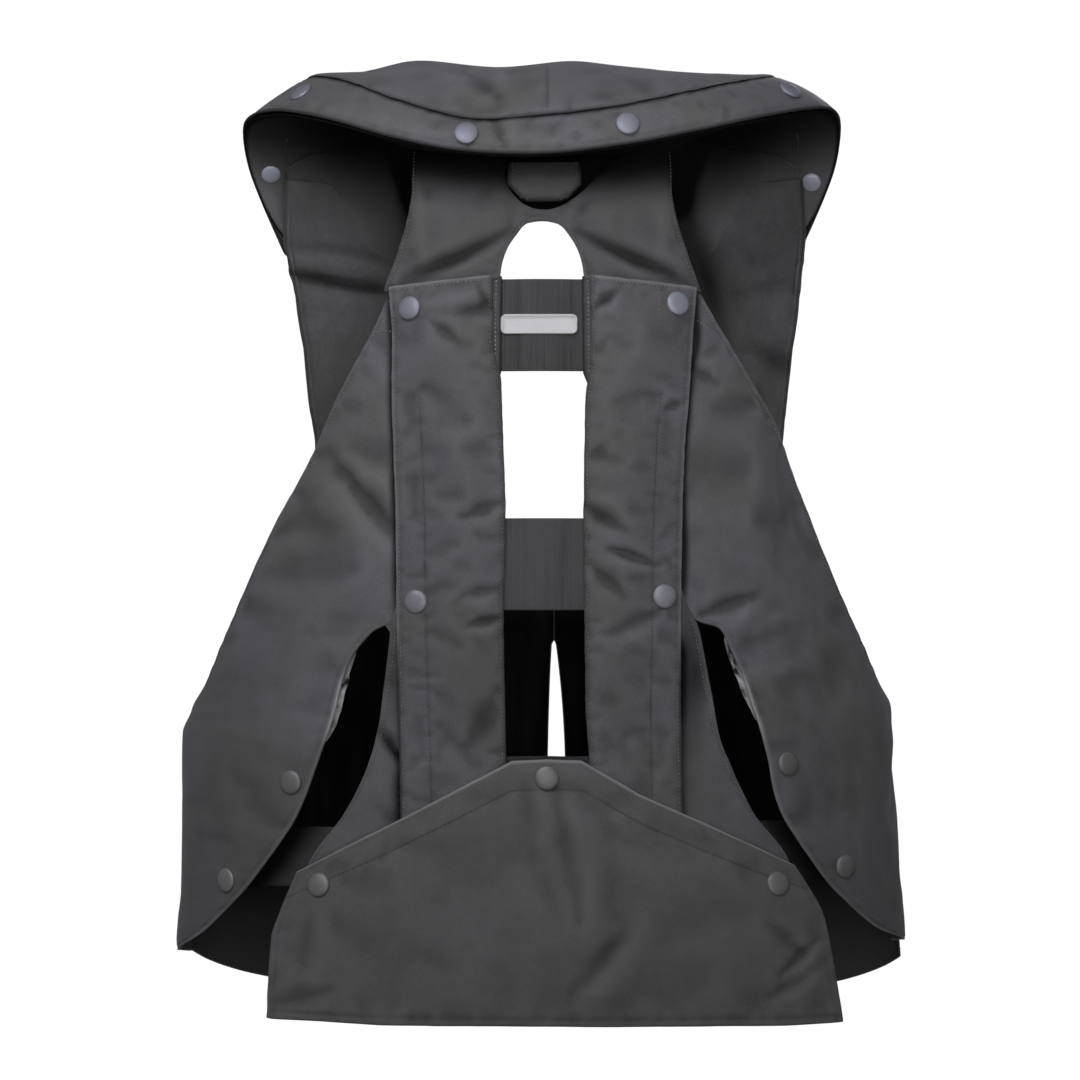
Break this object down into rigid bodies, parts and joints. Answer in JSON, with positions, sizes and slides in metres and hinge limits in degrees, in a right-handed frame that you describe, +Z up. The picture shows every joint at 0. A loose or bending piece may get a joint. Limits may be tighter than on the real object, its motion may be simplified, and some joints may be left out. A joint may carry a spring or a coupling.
{
  "type": "airbag vest",
  "caption": "Sleeveless safety vest with a pouch collar, an open back window crossed by elastics, snapped flaps, slit side wings and a pointed hip flap.",
  "frame": {"origin": "on the middle plane, between back and front, level with the shoulder seams where the vest rests on the wearer", "axes": "+Z up, +Y the way the wearer faces, so the back faces -Y; +X is towards the wearer's right"},
  "size_m": [0.5305, 0.2759, 0.685],
  "materials": {
    "nylon": "matt woven nylon",
    "lining": "matt lining",
    "elastic": "ribbed elastic",
    "stud_metal": "grey satin",
    "label_plate": "bare moulded plate",
    "clasp_plastic": "matt moulded"
  },
  "bodies": {
    "root": {"yoke": "nylon", "back_panel": "nylon", "side_panel_left": "nylon", "side_panel_right": "nylon", "back_flap_left": "nylon", "back_flap_right": "nylon", "elastic_upper": "elastic", "elastic_lower": "elastic", "label_plate": "label_plate", "nape_tab": "nylon", "tail_flap": "nylon", "side_strap_left": "elastic", "side_strap_right": "elastic", "front_panel_left": "nylon", "front_panel_right": "nylon", "front_clasp": "clasp_plastic", "shoulder_left": "lining", "shoulder_right": "lining", "collar_top": "nylon", "collar_band": "nylon", "collar_base": "lining", "snap_flap_left_upper": "stud_metal", "snap_flap_left_lower": "stud_metal", "snap_flap_right_upper": "stud_metal", "snap_flap_right_lower": "stud_metal", "snap_wing_left_upper": "stud_metal", "snap_wing_left_lower": "stud_metal", "snap_wing_right_upper": "stud_metal", "snap_wing_right_lower": "stud_metal", "snap_tail_middle": "stud_metal", "snap_tail_left": "stud_metal", "snap_tail_right": "stud_metal", "snap_collar_back_left": "stud_metal", "snap_collar_back_right": "stud_metal", "snap_collar_shoulder_left": "stud_metal", "snap_collar_shoulder_right": "stud_metal", "snap_collar_front_left": "stud_metal", "snap_collar_front_right": "stud_metal", "snap_collar_inside_left": "stud_metal", "snap_collar_inside_right": "stud_metal"}
  },
  "joints": []
}
